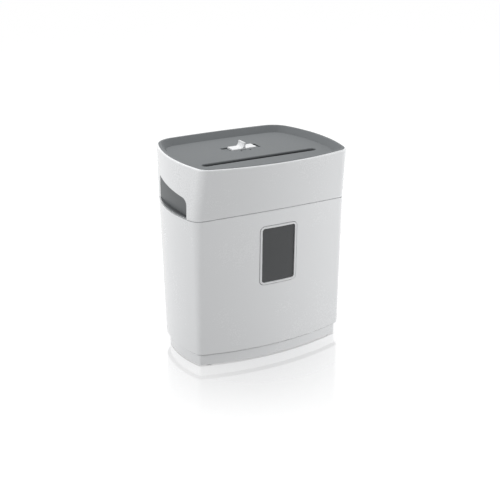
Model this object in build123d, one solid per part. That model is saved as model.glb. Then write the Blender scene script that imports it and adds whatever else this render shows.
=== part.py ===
from build123d import *
from collections import namedtuple
import math
import os

# Paper shredder: a cutting head that lifts off a waste bin.
# Millimetres, +Z up, the front faces -Y, and the origin is on the floor under the middle.

# Casing heights
FOOT_H = 1.5
PLINTH_H = 18.0
STEP_RISE = 4.5
BIN_H = 273.0
HEAD_H = 88.5

# Casing plan: rim of the head, seam level and foot of the bin
RIM_DEPTH = 243.0
RIM_NARROWING = 7.0
SEAM_DEPTH = 210.0
SEAM_SHIFT = -2.0
BIN_TAPER = 2.0
STEP_DEPTH = 186.0
STEP_SHIFT = -9.0
PLINTH_INSET = 5.0
WIDEST_Y = -12.0
FRONT_BOW = 26.0
BACK_BOW = 8.0
RIM_SIDE_BOW = 27.0
SEAM_SIDE_BOW = 25.0
STEP_SIDE_BOW = 24.0
RIM_FRONT_R = 24.0
RIM_BACK_R = 45.0
SEAM_FRONT_R = 22.0
SEAM_BACK_R = 30.0
STEP_FRONT_R = 13.0
STEP_BACK_R = 62.0
MIN_R = 1.0
WALL = 2.5
SEAM_GAP = 1.2
ARCH_SPAN = 300.0
ARCH_RISE = 8.0
ARCH_CROWN = 3.0

# Bin window, feet and head seats
WINDOW_DROP = 78.3
WINDOW_W = 64.5
WINDOW_H = 99.4
WINDOW_R = 5.0
BEZEL_W = 4.6
BEZEL_PROUD = 0.5
BEZEL_GAP = 1.0
PANE_RECESS = 1.4
PANE_T = 2.0
PANE_LAP = 3.0
PANE_CLEAR = 0.15
FOOT_R = 8.0
FOOT_X = 121.0
FOOT_Y = 62.0
SEAT_DROP = 11.0
SEAT_H = 8.0
SEAT_W = 34.0
SEAT_X = 104.0
SEAT_REACH = 12.0

# Top tray of the head
RIM_LIP = 0.8
EDGE_R = 2.4
EDGE_STEPS = 4
RIM_LAND = 2.6
LEDGE_W = 5.0
LEDGE_H = 9.0
BEAD_W = 4.5
TRAY_DEPTH = 11.0
FLOOR_INSET = 16.0
FLOOR_T = 3.0
COVER_CLEAR = 0.4
SLOT_L = 223.0
SLOT_W = 13.0
SLOT_Y = -41.0
MOUTH_BEVEL = 1.2
KNOB_L = 48.0
KNOB_W = 22.0
KNOB_T = 3.0
KNOB_R = 2.0
KNOB_EDGE = 0.6
KNOB_Y = 30.5
KNOB_TRAVEL = 10.5
KNOB_REST = 3.0
KNOB_CLEAR = 0.4
FIN_H = 9.5
FIN_T = 2.6
FIN_FOOT = 4.0
FIN_FOOT_H = 3.0
RECESS_DEPTH = 2.0
STEM_L = 7.0
STEM_W = 5.0
STEM_DROP = 6.5
SWITCH_L = 42.0
SWITCH_W = 16.0
SWITCH_H = 13.0

# Side grips
GRIP_FRONT = -60.0
GRIP_BACK = 100.0
GRIP_H_FRONT = 32.0
GRIP_H_BACK = 51.0
GRIP_R = 13.0
GRIP_DEPTH = 10.0
GRIP_BOW = 12.0
GRIP_WALL = 2.5
POCKET_ROOM = 7.5
SILL_T = 2.4
SILL_CLEAR = 1.0

# Base cover of the head
BASE_T = 2.5
BASE_CLEAR = 1.5
COLLAR_H = 12.0
COLLAR_T = 1.8
FIT = 0.3
CUT = 1.0
ARM_CLEAR = 1.0
CHUTE_Y = 62.0
BOSS_R = 4.5
SCREW_R = 1.5
SCREW_HEAD_R = 3.2
SCREW_HEAD_H = 2.2
SCREW_BITE = 14.0
BOSS_X_FRONT = 40.0
BOSS_COMB_GAP = 0.8
BOSS_COVER_GAP = 4.4
BOSS_AWAY = 11.0

# Cutting cylinders and their frame
CUTTER_RISE = 31.0
DISC_R = 15.75
DISC_ROOT_R = 13.4
DISC_PITCH = 10.0
DISC_T = 4.6
DISC_TEETH = 10
DISC_TWIST = 7.0
TOOTH_RAKE = 5.0
CORE_R = 11.0
CORE_MARGIN = 1.0
JOURNAL_R = 6.0
RUNNING = 0.05
END_PLAY = 0.3
BUSH_R = 9.0
BUSH_FLANGE_R = 11.0
BUSH_FLANGE_T = 1.2
PLATE_T = 2.0
PLATE_FRONT = 44.0
PLATE_BACK = 45.0
PLATE_TOP = 30.0
TAB_L = 12.0
TAB_W = 10.0
ROD_R = 3.0
ROD_AWAY = 9.0
ROD_UP = 22.0
ROD_DOWN = 20.0
NUT_R = 5.5
NUT_T = 3.5
NUT_SIDES = 6
COMB_CLEAR = 0.8
COMB_T = 5.0
COMB_H = 10.0
COMB_DROP = 2.0
COMB_FINGER_H = 4.0
COMB_FINGER_W = 4.2

# Gear train, from the motor pinion to the cutting cylinders
PRESSURE_ANGLE = 25.0
ADDENDUM = 0.8
DEDENDUM = 1.2
BACKLASH = 0.24
FLANK_STEPS = 3
SYNC_TEETH = 19
SYNC_MODULE = 1.5
DRIVE_TEETH = 40
DRIVE_PINION_TEETH = 14
DRIVE_MODULE = 1.25
MIDDLE_TEETH = 42
MIDDLE_PINION_TEETH = 13
MIDDLE_MODULE = 1.0
FIRST_TEETH = 48
MOTOR_TEETH = 12
FIRST_MODULE = 0.8
SECOND_GEAR_ANGLE = -5.0
FIRST_GEAR_ANGLE = 0.0
MOTOR_ANGLE = 25.0
SYNC_FACE = 6.0
DRIVE_FACE = 6.0
MIDDLE_FACE = 5.0
GEAR_GAP = 0.6
HUB_R = 5.0
AXLE_R = 3.0
COVER_WALL = 1.8
COVER_ROOM = 2.5
EAR_L = 9.0
EAR_T = 2.5

# Motor
CAN_R = 26.0
CAN_WALL = 2.0
CAN_L = 84.0
END_PLATE_T = 3.0
MOTOR_BOSS_R = 7.0
MOTOR_BOSS_L = 4.0
BOSS_END_T = 1.0
ARMATURE_R = 16.0
ARMATURE_L = 44.0
MOTOR_SHAFT_R = 2.5
MAGNET_T = 5.0
MAGNET_L = 52.0
MAGNET_ARC = 130.0
MOTOR_SCREW_AWAY = 10.0

# Control board, sensors and cord inlet
BOARD_SIDE_GAP = 6.0
BOARD_BACK_GAP = 24.0
BOARD_L = 92.0
BOARD_W = 46.0
BOARD_T = 1.6
POST_H = 6.0
POST_R = 3.0
POST_INSET = 5.0
RELAY_L = 19.0
RELAY_W = 15.0
RELAY_H = 15.0
RELAY_X = -18.0
CAPACITOR_R = 6.0
CAPACITOR_H = 22.0
CAPACITOR_X = 18.0
CAPACITOR_Y = -6.0
TERMINAL_L = 24.0
TERMINAL_W = 9.0
TERMINAL_H = 10.0
TERMINAL_Y = 14.0
THROAT_WALL = 2.5
THROAT_FLANGE_W = 20.0
THROAT_FLANGE_T = 2.5
LEVER_Z = 16.0
LEVER_BACK = 4.0
LEVER_REACH = 13.5
LEVER_T = 3.0
BLADE_UNDER = 0.8
LEVER_TAIL = 15.0
WEIGHT_L = 6.0
WEIGHT_H = 6.0
LEVER_HUB_R = 2.8
LEVER_PIN_R = 1.2
LEVER_CLEAR = 0.6
LUG_GAP = 3.6
LUG_T = 2.5
SENSOR_W = 14.0
SENSOR_L = 9.0
SENSOR_SLOT = 6.0
SENSOR_ROOF = 1.5
LOCK_X = -60.0
LOCK_INSET = 12.0
LOCK_POST = 4.0
LOCK_RISE = 1.5
LOCK_ARM_H = 6.0
PLUNGER_R = 3.0
PLUNGER_FIT = 0.08
PLUNGER_DROP = 3.0
GUIDE_H = 12.0
GUIDE_R = 5.0
FLANGE_R = 4.6
FLANGE_T = 1.6
LOCK_SWITCH_L = 20.0
LOCK_SWITCH_W = 7.0
LOCK_SWITCH_H = 10.0
LOCK_SWITCH_GAP = 0.4
BRACKET_T = 3.0
GLAND_X = -95.0
GLAND_Z = 32.0
GLAND_R = 7.0
GLAND_BORE_R = 3.8
GLAND_FLANGE_R = 10.0
GLAND_FLANGE_T = 2.0
GLAND_LEAN = 2.5

# Worked out across the machine: cutters, plates, gear planes and casing width
CORE_HALF = SLOT_L / 2 + CORE_MARGIN
PLATE_X = CORE_HALF + END_PLAY + BUSH_FLANGE_T
PLATE_OUT = PLATE_X + PLATE_T
SYNC_X = PLATE_OUT + GEAR_GAP
DRIVE_X = SYNC_X + SYNC_FACE + GEAR_GAP
MIDDLE_X = DRIVE_X + DRIVE_FACE + GEAR_GAP
GEARS_END = MIDDLE_X + MIDDLE_FACE
GEAR_COVER_X = GEARS_END + GEAR_GAP + COVER_WALL
SEAM_HALF = GEAR_COVER_X + POCKET_ROOM + GRIP_WALL + GRIP_DEPTH
BOARD_X = BOARD_SIDE_GAP + BOARD_L / 2 - PLATE_X
BOARD_Y = SEAM_SHIFT + SEAM_DEPTH / 2 - BOARD_BACK_GAP - BOARD_W / 2

# Worked out upwards
HEIGHT = BIN_H + HEAD_H
PLINTH_Z = FOOT_H
STEP_Z = PLINTH_Z + PLINTH_H + STEP_RISE
WINDOW_Z = BIN_H - WINDOW_DROP
ARCH_TOP = BIN_H + ARCH_CROWN
BASE_Z = BIN_H - SEAT_DROP
BASE_TOP = BASE_Z + BASE_T
FLOOR_Z = HEIGHT - TRAY_DEPTH
FLOOR_UNDER = FLOOR_Z - FLOOR_T
LIP_Z = HEIGHT - RIM_LIP
GLAND_HEIGHT = BIN_H + GLAND_Z
ARCH_R = ((ARCH_SPAN / 2) ** 2 + ARCH_RISE**2) / (2 * ARCH_RISE)
SIDE_SEAM_Z = ARCH_TOP - ARCH_R + math.sqrt(ARCH_R**2 - SEAM_HALF**2)
SILL_Z = SIDE_SEAM_Z + SILL_CLEAR
SILL_TOP = SILL_Z + SILL_T

# Worked out across the gear train, as (y, z) of each axis
AXIS_GAP = SYNC_TEETH * SYNC_MODULE
CUTTER_Z = BASE_TOP + CUTTER_RISE
REAR_AXIS = (SLOT_Y + AXIS_GAP / 2, CUTTER_Z)
FRONT_AXIS = (SLOT_Y - AXIS_GAP / 2, CUTTER_Z)


def step_from(axis, teeth_a, teeth_b, module, angle):
    """The axis of a gear that meshes with one at axis, seen at an angle from +Y towards +Z."""
    reach = module * (teeth_a + teeth_b) / 2
    turn = math.radians(angle)
    return (axis[0] + reach * math.cos(turn), axis[1] + reach * math.sin(turn))


SECOND_AXIS = step_from(REAR_AXIS, DRIVE_TEETH, DRIVE_PINION_TEETH, DRIVE_MODULE, SECOND_GEAR_ANGLE)
FIRST_AXIS = step_from(SECOND_AXIS, MIDDLE_TEETH, MIDDLE_PINION_TEETH, MIDDLE_MODULE, FIRST_GEAR_ANGLE)
MOTOR_AXIS = step_from(FIRST_AXIS, FIRST_TEETH, MOTOR_TEETH, FIRST_MODULE, MOTOR_ANGLE)

# Plan of the casing at three heights
Level = namedtuple(
    "Level", "z half_width front_y back_y front_bow side_bow back_bow front_corner back_corner"
)
RIM = Level(
    HEIGHT,
    SEAM_HALF - RIM_NARROWING / 2,
    -RIM_DEPTH / 2,
    RIM_DEPTH / 2,
    FRONT_BOW,
    RIM_SIDE_BOW,
    BACK_BOW,
    RIM_FRONT_R,
    RIM_BACK_R,
)
SEAM = Level(
    BIN_H,
    SEAM_HALF,
    SEAM_SHIFT - SEAM_DEPTH / 2,
    SEAM_SHIFT + SEAM_DEPTH / 2,
    FRONT_BOW,
    SEAM_SIDE_BOW,
    BACK_BOW,
    SEAM_FRONT_R,
    SEAM_BACK_R,
)
STEP = Level(
    STEP_Z,
    SEAM_HALF - BIN_TAPER / 2,
    STEP_SHIFT - STEP_DEPTH / 2,
    STEP_SHIFT + STEP_DEPTH / 2,
    FRONT_BOW,
    STEP_SIDE_BOW,
    BACK_BOW,
    STEP_FRONT_R,
    STEP_BACK_R,
)


def level_at(z):
    """Plan sizes of the casing at height z: the head above the seam level, the bin below it."""
    low, high = (SEAM, RIM) if z > SEAM.z else (STEP, SEAM)
    share = (z - low.z) / (high.z - low.z)
    return Level(*(a + (b - a) * share for a, b in zip(low, high)))


def bow_radius(half_chord, bow):
    """Radius of an arc that rises by bow over a chord."""
    return (half_chord**2 + bow**2) / (2 * bow)


def towards(a, b, reach):
    """The point at a distance reach from a, in the direction of b."""
    length = math.dist(a, b)
    return tuple(p + (q - p) * reach / length for p, q in zip(a, b))


def corner_centre(a, a_r, b, b_r, y_sign):
    """Where two circles cross, on the right, at the front (y_sign -1) or the back (1)."""
    gap = math.dist(a, b)
    along = (a_r**2 - b_r**2 + gap**2) / (2 * gap)
    across = math.sqrt(a_r**2 - along**2)
    foot = towards(a, b, along)
    ux, uy = (b[0] - a[0]) / gap, (b[1] - a[1]) / gap
    found = [(foot[0] - s * across * uy, foot[1] + s * across * ux) for s in (1, -1)]
    return max(found, key=lambda p: p[0] + y_sign * p[1])


def outline(z, inset=0.0):
    """Closed plan line at height z, moved in by inset: four bowed sides and four tangent corner arcs."""
    level = level_at(z)
    half_depth = (level.back_y - level.front_y) / 2
    front_r = bow_radius(level.half_width, level.front_bow)
    back_r = bow_radius(level.half_width, level.back_bow)
    side_r = bow_radius(half_depth, level.side_bow)
    front_c = (0.0, level.front_y + front_r)
    back_c = (0.0, level.back_y - back_r)
    side_c = (level.half_width - side_r, WIDEST_Y)
    front_r, back_r, side_r = front_r - inset, back_r - inset, side_r - inset
    corners = []
    for bow_c, bow_r, corner_r, sign in (
        (front_c, front_r, level.front_corner, -1),
        (back_c, back_r, level.back_corner, 1),
    ):
        r = max(corner_r - inset, MIN_R)
        c = corner_centre(bow_c, bow_r - r, side_c, side_r - r, sign)
        on_bow = towards(bow_c, c, bow_r)
        on_side = towards(side_c, c, side_r)
        middle = ((on_bow[0] + on_side[0]) / 2, (on_bow[1] + on_side[1]) / 2)
        corners.append((on_bow, towards(c, middle, r), on_side))
    (f_bow, f_mid, f_side), (b_bow, b_mid, b_side) = corners
    right = [
        (f_bow, f_mid, f_side),
        (f_side, (level.half_width - inset, WIDEST_Y), b_side),
        (b_side, b_mid, b_bow),
    ]
    left = [tuple((-p[0], p[1]) for p in reversed(arc)) for arc in reversed(right)]
    front = [((-f_bow[0], f_bow[1]), (0.0, level.front_y + inset), f_bow)]
    back = [(b_bow, (0.0, level.back_y - inset), (-b_bow[0], b_bow[1]))]
    arcs = front + right + back + left
    return Wire([ThreePointArc(*((x, y, z) for x, y in arc)) for arc in arcs])


def form(*stations):
    """Solid that follows the casing through stations of (height, inset)."""
    return Solid.make_loft([outline(z, inset) for z, inset in stations], True)


def back_wall(x, z, inset):
    """Y of the casing's back at x and height z, moved in by inset."""
    level = level_at(z)
    r = bow_radius(level.half_width, level.back_bow)
    return level.back_y - r + math.sqrt((r - inset) ** 2 - x**2)


def block(x0, x1, y0, y1, z0, z1):
    """Box between two corners."""
    return Pos((x0 + x1) / 2, (y0 + y1) / 2, (z0 + z1) / 2) * Box(x1 - x0, y1 - y0, z1 - z0)


def rod_x(x0, x1, axis, r):
    """Cylinder along X on an axis given as (y, z)."""
    return Pos((x0 + x1) / 2, *axis) * Rot(0, 90, 0) * Cylinder(r, x1 - x0)


def rod_y(y0, y1, x, z, r):
    """Cylinder along Y."""
    return Pos(x, (y0 + y1) / 2, z) * Rot(90, 0, 0) * Cylinder(r, y1 - y0)


def rod_z(z0, z1, x, y, r):
    """Cylinder along Z."""
    return Pos(x, y, (z0 + z1) / 2) * Cylinder(r, z1 - z0)


def below_arch(gap):
    """All that lies under the arched seam, lowered by gap."""
    return rod_y(-RIM_DEPTH, RIM_DEPTH, 0, ARCH_TOP - ARCH_R, ARCH_R - gap)


def both_sides(shape):
    """A shape and its mirror image across the middle plane."""
    return [shape, mirror(shape, Plane.YZ)]


def group(shapes):
    """Several separate solids in one node."""
    return Compound(children=[s for shape in shapes for s in shape.solids()])


def window_prism(grow):
    """Upright rounded rectangle through the bin's front wall, grown by grow on each side."""
    size = (WINDOW_W + 2 * grow, WINDOW_H + 2 * grow)
    face = Plane((0, 0, WINDOW_Z), x_dir=(1, 0, 0), z_dir=(0, -1, 0)) * RectangleRounded(
        *size, WINDOW_R + grow
    )
    return extrude(face, RIM_DEPTH)


def window_layer(outer, inner, grow):
    """Piece of the bin's front wall between two insets, cut to the window grown by grow."""
    low = STEP_Z + WALL
    wall = form((low, outer), (BIN_H, outer)) - form((low, inner), (BIN_H, inner))
    return wall & window_prism(grow)


def lock_spot(inset=LOCK_INSET):
    """(x, y) of the interlock post inside the bin's back wall."""
    return (LOCK_X, back_wall(LOCK_X, BIN_H, inset))


def seats():
    """Two front and two back ledges in the bin, on which the head's base stands."""
    front = SEAM.front_y + FRONT_BOW * (SEAT_X / SEAM_HALF) ** 2
    back = back_wall(SEAT_X, BASE_Z, 0)
    found = []
    for y0, y1 in ((front - RIM_DEPTH, front + SEAT_REACH), (back - SEAT_REACH, back + RIM_DEPTH)):
        pad = block(SEAT_X - SEAT_W / 2, SEAT_X + SEAT_W / 2, y0, y1, BASE_Z - SEAT_H, BASE_Z)
        found += both_sides(pad & form((BASE_Z - SEAT_H, WALL / 2), (BASE_Z, WALL / 2)))
    return found


def make_bin_shell():
    """Tapered waste bin with a stepped plinth, arched rim, window opening and interlock post."""
    top = ARCH_TOP + SEAM_GAP
    plinth_top = PLINTH_Z + PLINTH_H
    inner = PLINTH_INSET + WALL
    shell = form(
        (PLINTH_Z, PLINTH_INSET), (plinth_top, PLINTH_INSET), (STEP_Z, 0), (BIN_H, 0), (top, 0)
    )
    shell -= form(
        (PLINTH_Z + WALL, inner), (plinth_top, inner), (STEP_Z + WALL, WALL), (BIN_H, WALL), (top, WALL)
    )
    shell = shell & below_arch(SEAM_GAP / 2)
    shell -= window_prism(BEZEL_W) & block(
        -WINDOW_W, WINDOW_W, -RIM_DEPTH, 0, WINDOW_Z - WINDOW_H, WINDOW_Z + WINDOW_H
    )
    for seat in seats():
        shell += seat
    x, y = lock_spot()
    half = LOCK_POST / 2
    arm_y = back_wall(LOCK_X, BIN_H, WALL / 2)
    arm_top = BASE_Z - ARM_CLEAR
    shell += block(x - half, x + half, y - half, arm_y, arm_top - LOCK_ARM_H, arm_top)
    shell += block(x - half, x + half, y - half, y + half, arm_top - LOCK_ARM_H, BASE_Z + LOCK_RISE)
    return shell


def make_window_bezel():
    """Raised frame in the bin's window opening, with a fine gap round it."""
    ring = window_layer(-BEZEL_PROUD, WALL, BEZEL_W - BEZEL_GAP)
    return ring - window_prism(0)


def make_window_pane():
    """Clear pane set back in the frame, with a wider flange behind the wall."""
    plug = window_layer(PANE_RECESS, WALL + PANE_T, -PANE_CLEAR)
    flange = window_layer(WALL, WALL + PANE_T, BEZEL_W + PANE_LAP)
    return plug + flange


def make_feet():
    """Four rubber feet under the plinth."""
    spots = [(sx * FOOT_X, STEP_SHIFT + sy * FOOT_Y) for sx in (-1, 1) for sy in (-1, 1)]
    return group(rod_z(0, PLINTH_Z, *spot, FOOT_R) for spot in spots)


def grip_prism(grow):
    """Side view of a grip opening, grown by grow, as a prism on the right."""
    front = GRIP_FRONT - grow
    top_front = SILL_TOP + GRIP_H_FRONT + grow
    top_back = SILL_TOP + GRIP_H_BACK + grow
    points = [
        (front, SILL_TOP),
        (GRIP_BACK, SILL_TOP),
        (GRIP_BACK, top_back),
        (front, top_front),
    ]
    face = Polygon(*points, align=None)
    corner = face.vertices().sort_by(Axis.X)[:2].sort_by(Axis.Y)[-1]
    face = fillet(corner, GRIP_R + grow)
    side = Plane((0, 0, 0), x_dir=(0, 1, 0), z_dir=(1, 0, 0))
    return extrude(side * face, SEAM_HALF * 2)


def grip_wall(inset):
    """Upright cylinder whose right side is the back wall of a grip, moved in by inset."""
    r = bow_radius(SEAM_DEPTH / 2, GRIP_BOW)
    x = SEAM_HALF - GRIP_DEPTH - r
    return rod_z(BIN_H - HEIGHT, 2 * HEIGHT, x, WIDEST_Y, r - inset)


def grip_recess():
    """Space of the right grip, from its back wall outwards."""
    return grip_prism(0) - grip_wall(0)


def grip_body(grow):
    """Outside of the right grip liner, grown by grow: the recess with its walls, on a sill."""
    front = GRIP_FRONT - GRIP_WALL - grow
    sill = block(0, SEAM_HALF, front, GRIP_BACK, SILL_Z, SILL_TOP)
    return grip_prism(GRIP_WALL + grow) + sill - grip_wall(GRIP_WALL + grow)


def make_grip():
    """Grip liner on the right: sill, back wall, roof and front end behind the opening in the housing."""
    reach = form((BASE_TOP, WALL + FIT), (BIN_H, WALL + FIT), (FLOOR_UNDER, WALL + FIT))
    return (grip_body(0) & reach) - grip_recess() - below_arch(-SEAM_GAP / 2)


def make_head_housing():
    """White outer band of the head, arched below, with a ledge above and an opening for each grip."""
    low = ARCH_TOP - ARCH_RISE * 2
    ledge = LIP_Z - LEDGE_H
    edge = [
        (LIP_Z - EDGE_R + EDGE_R * math.sin(t), EDGE_R - EDGE_R * math.cos(t))
        for t in (math.pi / 2 * k / EDGE_STEPS for k in range(EDGE_STEPS + 1))
    ]
    shell = form((low, 0), (BIN_H, 0), *edge)
    shell -= form(
        (low - CUT, WALL), (BIN_H, WALL), (ledge - LEDGE_W, WALL), (ledge, LEDGE_W), (LIP_Z + CUT, LEDGE_W)
    )
    shell -= below_arch(-SEAM_GAP / 2)
    for recess in both_sides(grip_opening()):
        shell -= recess
    spot = back_wall(GLAND_X, GLAND_HEIGHT, 0)
    shell -= rod_y(spot - HEAD_H, spot + HEAD_H, GLAND_X, GLAND_HEIGHT, GLAND_R + FIT)
    return shell


def grip_opening():
    """Cut in the housing for the right grip: the recess carried down through the lower edge."""
    down = Pos(0, 0, -GRIP_H_FRONT / 2) * grip_prism(0)
    return (grip_prism(0) + down) - grip_wall(0)


def slot_shape(length, width, z0, z1):
    """Upright prism of the paper slot with round ends."""
    face = SlotOverall(length, width)
    return Pos(0, SLOT_Y, z0) * extrude(face, z1 - z0)


def bosses():
    """(x, y) of the four screw bosses between the base and the top of the head."""
    front_y = comb_face(FRONT_AXIS, -1) - BOSS_COMB_GAP - BOSS_R
    back_y = gear_cover_box()[1] + COVER_WALL + BOSS_COVER_GAP + BOSS_R
    spots = [(BOSS_X_FRONT, front_y), (PLATE_OUT + BOSS_AWAY, back_y)]
    return [(s * x, y) for x, y in spots for s in (1, -1)]


def make_top_cover():
    """Grey tray with its rim, the bevelled paper slot, the switch recess and four screw bosses."""
    cover = form((FLOOR_UNDER, FLOOR_INSET - FLOOR_T), (LIP_Z, LEDGE_W + COVER_CLEAR))
    cover += form((LIP_Z, RIM_LAND), (HEIGHT - RIM_LIP / 2, RIM_LAND), (HEIGHT, RIM_LAND + RIM_LIP / 2))
    cover -= form((FLOOR_Z, FLOOR_INSET), (HEIGHT, BEAD_W + RIM_LAND), (HEIGHT + CUT, BEAD_W + RIM_LAND))
    travel = KNOB_L + 2 * KNOB_TRAVEL + 2 * KNOB_CLEAR
    width = KNOB_W + 2 * KNOB_CLEAR
    under = FLOOR_UNDER - RECESS_DEPTH
    cover += Pos(0, KNOB_Y, (under + FLOOR_UNDER) / 2) * Box(
        travel + 2 * FLOOR_T, width + 2 * FLOOR_T, FLOOR_UNDER - under
    )
    cover -= block(
        -travel / 2, travel / 2, KNOB_Y - width / 2, KNOB_Y + width / 2, FLOOR_Z - RECESS_DEPTH, HEIGHT
    )
    stem = STEM_L / 2 + KNOB_TRAVEL + KNOB_CLEAR
    stem_w = STEM_W / 2 + KNOB_CLEAR
    cover -= block(-stem, stem, KNOB_Y - stem_w, KNOB_Y + stem_w, under - CUT, FLOOR_Z)
    cover -= slot_shape(SLOT_L, SLOT_W, FLOOR_UNDER - CUT, HEIGHT)
    bevel = loft(
        [
            Pos(0, SLOT_Y, FLOOR_Z - MOUTH_BEVEL) * SlotOverall(SLOT_L, SLOT_W),
            Pos(0, SLOT_Y, FLOOR_Z) * SlotOverall(SLOT_L + 2 * MOUTH_BEVEL, SLOT_W + 2 * MOUTH_BEVEL),
        ]
    )
    cover -= bevel
    for x, y in bosses():
        cover += rod_z(BASE_TOP, FLOOR_UNDER + CUT, x, y, BOSS_R)
        cover -= rod_z(BASE_TOP - CUT, BASE_TOP + SCREW_BITE, x, y, SCREW_R)
    return cover


def make_mode_knob():
    """White slide button: a rounded plate with an upright fin and a stem down to the switch."""
    low = FLOOR_Z - RECESS_DEPTH + KNOB_CLEAR
    high = low + KNOB_T
    plate = Pos(0, KNOB_Y, low) * extrude(RectangleRounded(KNOB_L, KNOB_W, KNOB_R), KNOB_T)
    plate = fillet(plate.faces().sort_by(Axis.Z)[-1].edges(), KNOB_EDGE)
    half = FIN_T / 2
    foot = (-half - FIN_FOOT, high)
    corners = [(-half, high + FIN_H), (half, high + FIN_H), (half, low), (-half - FIN_FOOT, low), foot]
    hollow = ThreePointArc(foot, (-FIN_T, high + FIN_FOOT_H), corners[0])
    side = Plane((0, KNOB_Y - KNOB_W / 2, 0), x_dir=(1, 0, 0), z_dir=(0, -1, 0))
    fin = extrude(side * make_face([Polyline(*corners), hollow]), -KNOB_W)
    stem = block(
        -STEM_L / 2, STEM_L / 2, KNOB_Y - STEM_W / 2, KNOB_Y + STEM_W / 2,
        FLOOR_UNDER - RECESS_DEPTH - STEM_DROP, low,
    )
    return Pos(KNOB_REST, 0, 0) * (plate + fin + stem)


def make_mode_switch():
    """Slide switch under the tray, with a channel for the knob's stem."""
    high = FLOOR_UNDER - RECESS_DEPTH
    body = block(
        -SWITCH_L / 2, SWITCH_L / 2, KNOB_Y - SWITCH_W / 2, KNOB_Y + SWITCH_W / 2, high - SWITCH_H, high
    )
    reach = STEM_L / 2 + KNOB_TRAVEL + KNOB_CLEAR
    width = STEM_W / 2 + KNOB_CLEAR
    depth = STEM_DROP + KNOB_CLEAR
    return body - block(-reach, reach, KNOB_Y - width, KNOB_Y + width, high - depth, high)


def make_base_cover():
    """Floor of the head: a plate with a collar, the shred chute, board posts and the lock guide."""
    edge = WALL + BASE_CLEAR
    slim = WALL + FIT
    turn = ARCH_TOP
    top = turn + COLLAR_H
    tray = form((BASE_Z, edge), (BASE_TOP, edge), (turn - ARCH_RISE, edge), (turn, slim), (top, slim))
    deep, thin = edge + COLLAR_T, slim + COLLAR_T
    tray -= form((BASE_TOP, deep), (turn - ARCH_RISE, deep), (turn, thin), (top + CUT, thin))
    for piece in both_sides(grip_body(FIT)):
        tray -= piece
    chute = block(
        -CORE_HALF, CORE_HALF, SLOT_Y - CHUTE_Y / 2, SLOT_Y + CHUTE_Y / 2, BASE_Z - CUT, BASE_TOP + CUT
    )
    tray -= chute
    for x, y in board_posts():
        tray += rod_z(BASE_TOP - CUT, BASE_TOP + POST_H, x, y, POST_R)
        tray -= rod_z(BASE_TOP, BASE_TOP + POST_H + CUT, x, y, SCREW_R)
    x, y = lock_spot()
    tray += rod_z(BASE_TOP - CUT, BASE_TOP + GUIDE_H, x, y, GUIDE_R)
    tray -= rod_z(BASE_Z - CUT, BASE_TOP + GUIDE_H + CUT, x, y, PLUNGER_R + PLUNGER_FIT)
    tray += block(
        x - LOCK_SWITCH_L / 2, x + LOCK_SWITCH_L / 2, y - GUIDE_R - BRACKET_T, y - GUIDE_R,
        BASE_TOP - CUT, lock_switch_z() + LOCK_SWITCH_H,
    )
    for sx, sy in bosses():
        tray -= rod_z(BASE_Z - CUT, BASE_TOP + CUT, sx, sy, SCREW_R + FIT)
    for fx, fy in frame_screw_spots():
        tray -= rod_z(BASE_Z - CUT, BASE_TOP + CUT, fx, fy, SCREW_R)
    return tray


def board_posts():
    """(x, y) of the four posts under the control board."""
    dx = BOARD_L / 2 - POST_INSET
    dy = BOARD_W / 2 - POST_INSET
    return [(BOARD_X + sx * dx, BOARD_Y + sy * dy) for sx in (-1, 1) for sy in (-1, 1)]


def plate_ends():
    """Y of the front and back edges of the frame plates, left then right."""
    front = SLOT_Y - PLATE_FRONT
    return (front, SLOT_Y + PLATE_BACK), (front, MOTOR_AXIS[0] + CAN_R)


def frame_screw_spots():
    """(x, y) of the screws through the tabs of the two frame plates."""
    spots = []
    for sign, (front, back) in zip((-1, 1), plate_ends()):
        x = sign * (PLATE_X - TAB_L / 2)
        spots += [(x, front + TAB_W / 2), (x, back - TAB_W / 2)]
    return spots


def rod_spots():
    """(y, z) of the four tie rods, beyond the cutting cylinders."""
    front = FRONT_AXIS[0] - ROD_AWAY
    back = REAR_AXIS[0] + ROD_AWAY
    return [(y, CUTTER_Z + dz) for y in (front, back) for dz in (ROD_UP, -ROD_DOWN)]


def make_frame_plate(sign):
    """Steel side plate with two foot tabs, the bush holes and the tie rod holes."""
    front, back = plate_ends()[0 if sign < 0 else 1]
    top = CUTTER_Z + PLATE_TOP
    plate = block(PLATE_X, PLATE_OUT, front, back, BASE_TOP, top)
    for y in (front, back - TAB_W):
        plate += block(PLATE_X - TAB_L, PLATE_X, y, y + TAB_W, BASE_TOP, BASE_TOP + PLATE_T)
    for axis in (FRONT_AXIS, REAR_AXIS):
        plate -= rod_x(PLATE_X - CUT, PLATE_OUT + CUT, axis, BUSH_R)
    for axis in rod_spots():
        plate -= rod_x(PLATE_X - CUT, PLATE_OUT + CUT, axis, ROD_R)
    if sign > 0:
        for axis in (FIRST_AXIS, SECOND_AXIS):
            plate -= rod_x(PLATE_X - CUT, PLATE_OUT + CUT, axis, AXLE_R)
        plate -= rod_x(PLATE_X - CUT, PLATE_OUT + CUT, MOTOR_AXIS, MOTOR_BOSS_R)
        for axis in motor_screw_spots():
            plate -= rod_x(PLATE_X - CUT, PLATE_OUT + CUT, axis, SCREW_R)
        for axis in ear_spots():
            plate -= rod_x(PLATE_X - CUT, PLATE_OUT + CUT, axis, SCREW_R)
    else:
        plate = mirror(plate, Plane.YZ)
    for x, y in frame_screw_spots():
        plate -= rod_z(BASE_TOP - CUT, BASE_TOP + PLATE_T + CUT, x, y, SCREW_R)
    return plate


def make_tie_rods():
    """Four steel rods that hold the frame plates apart."""
    reach = PLATE_OUT + NUT_T
    return group(rod_x(-reach, reach, axis, ROD_R) for axis in rod_spots())


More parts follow.
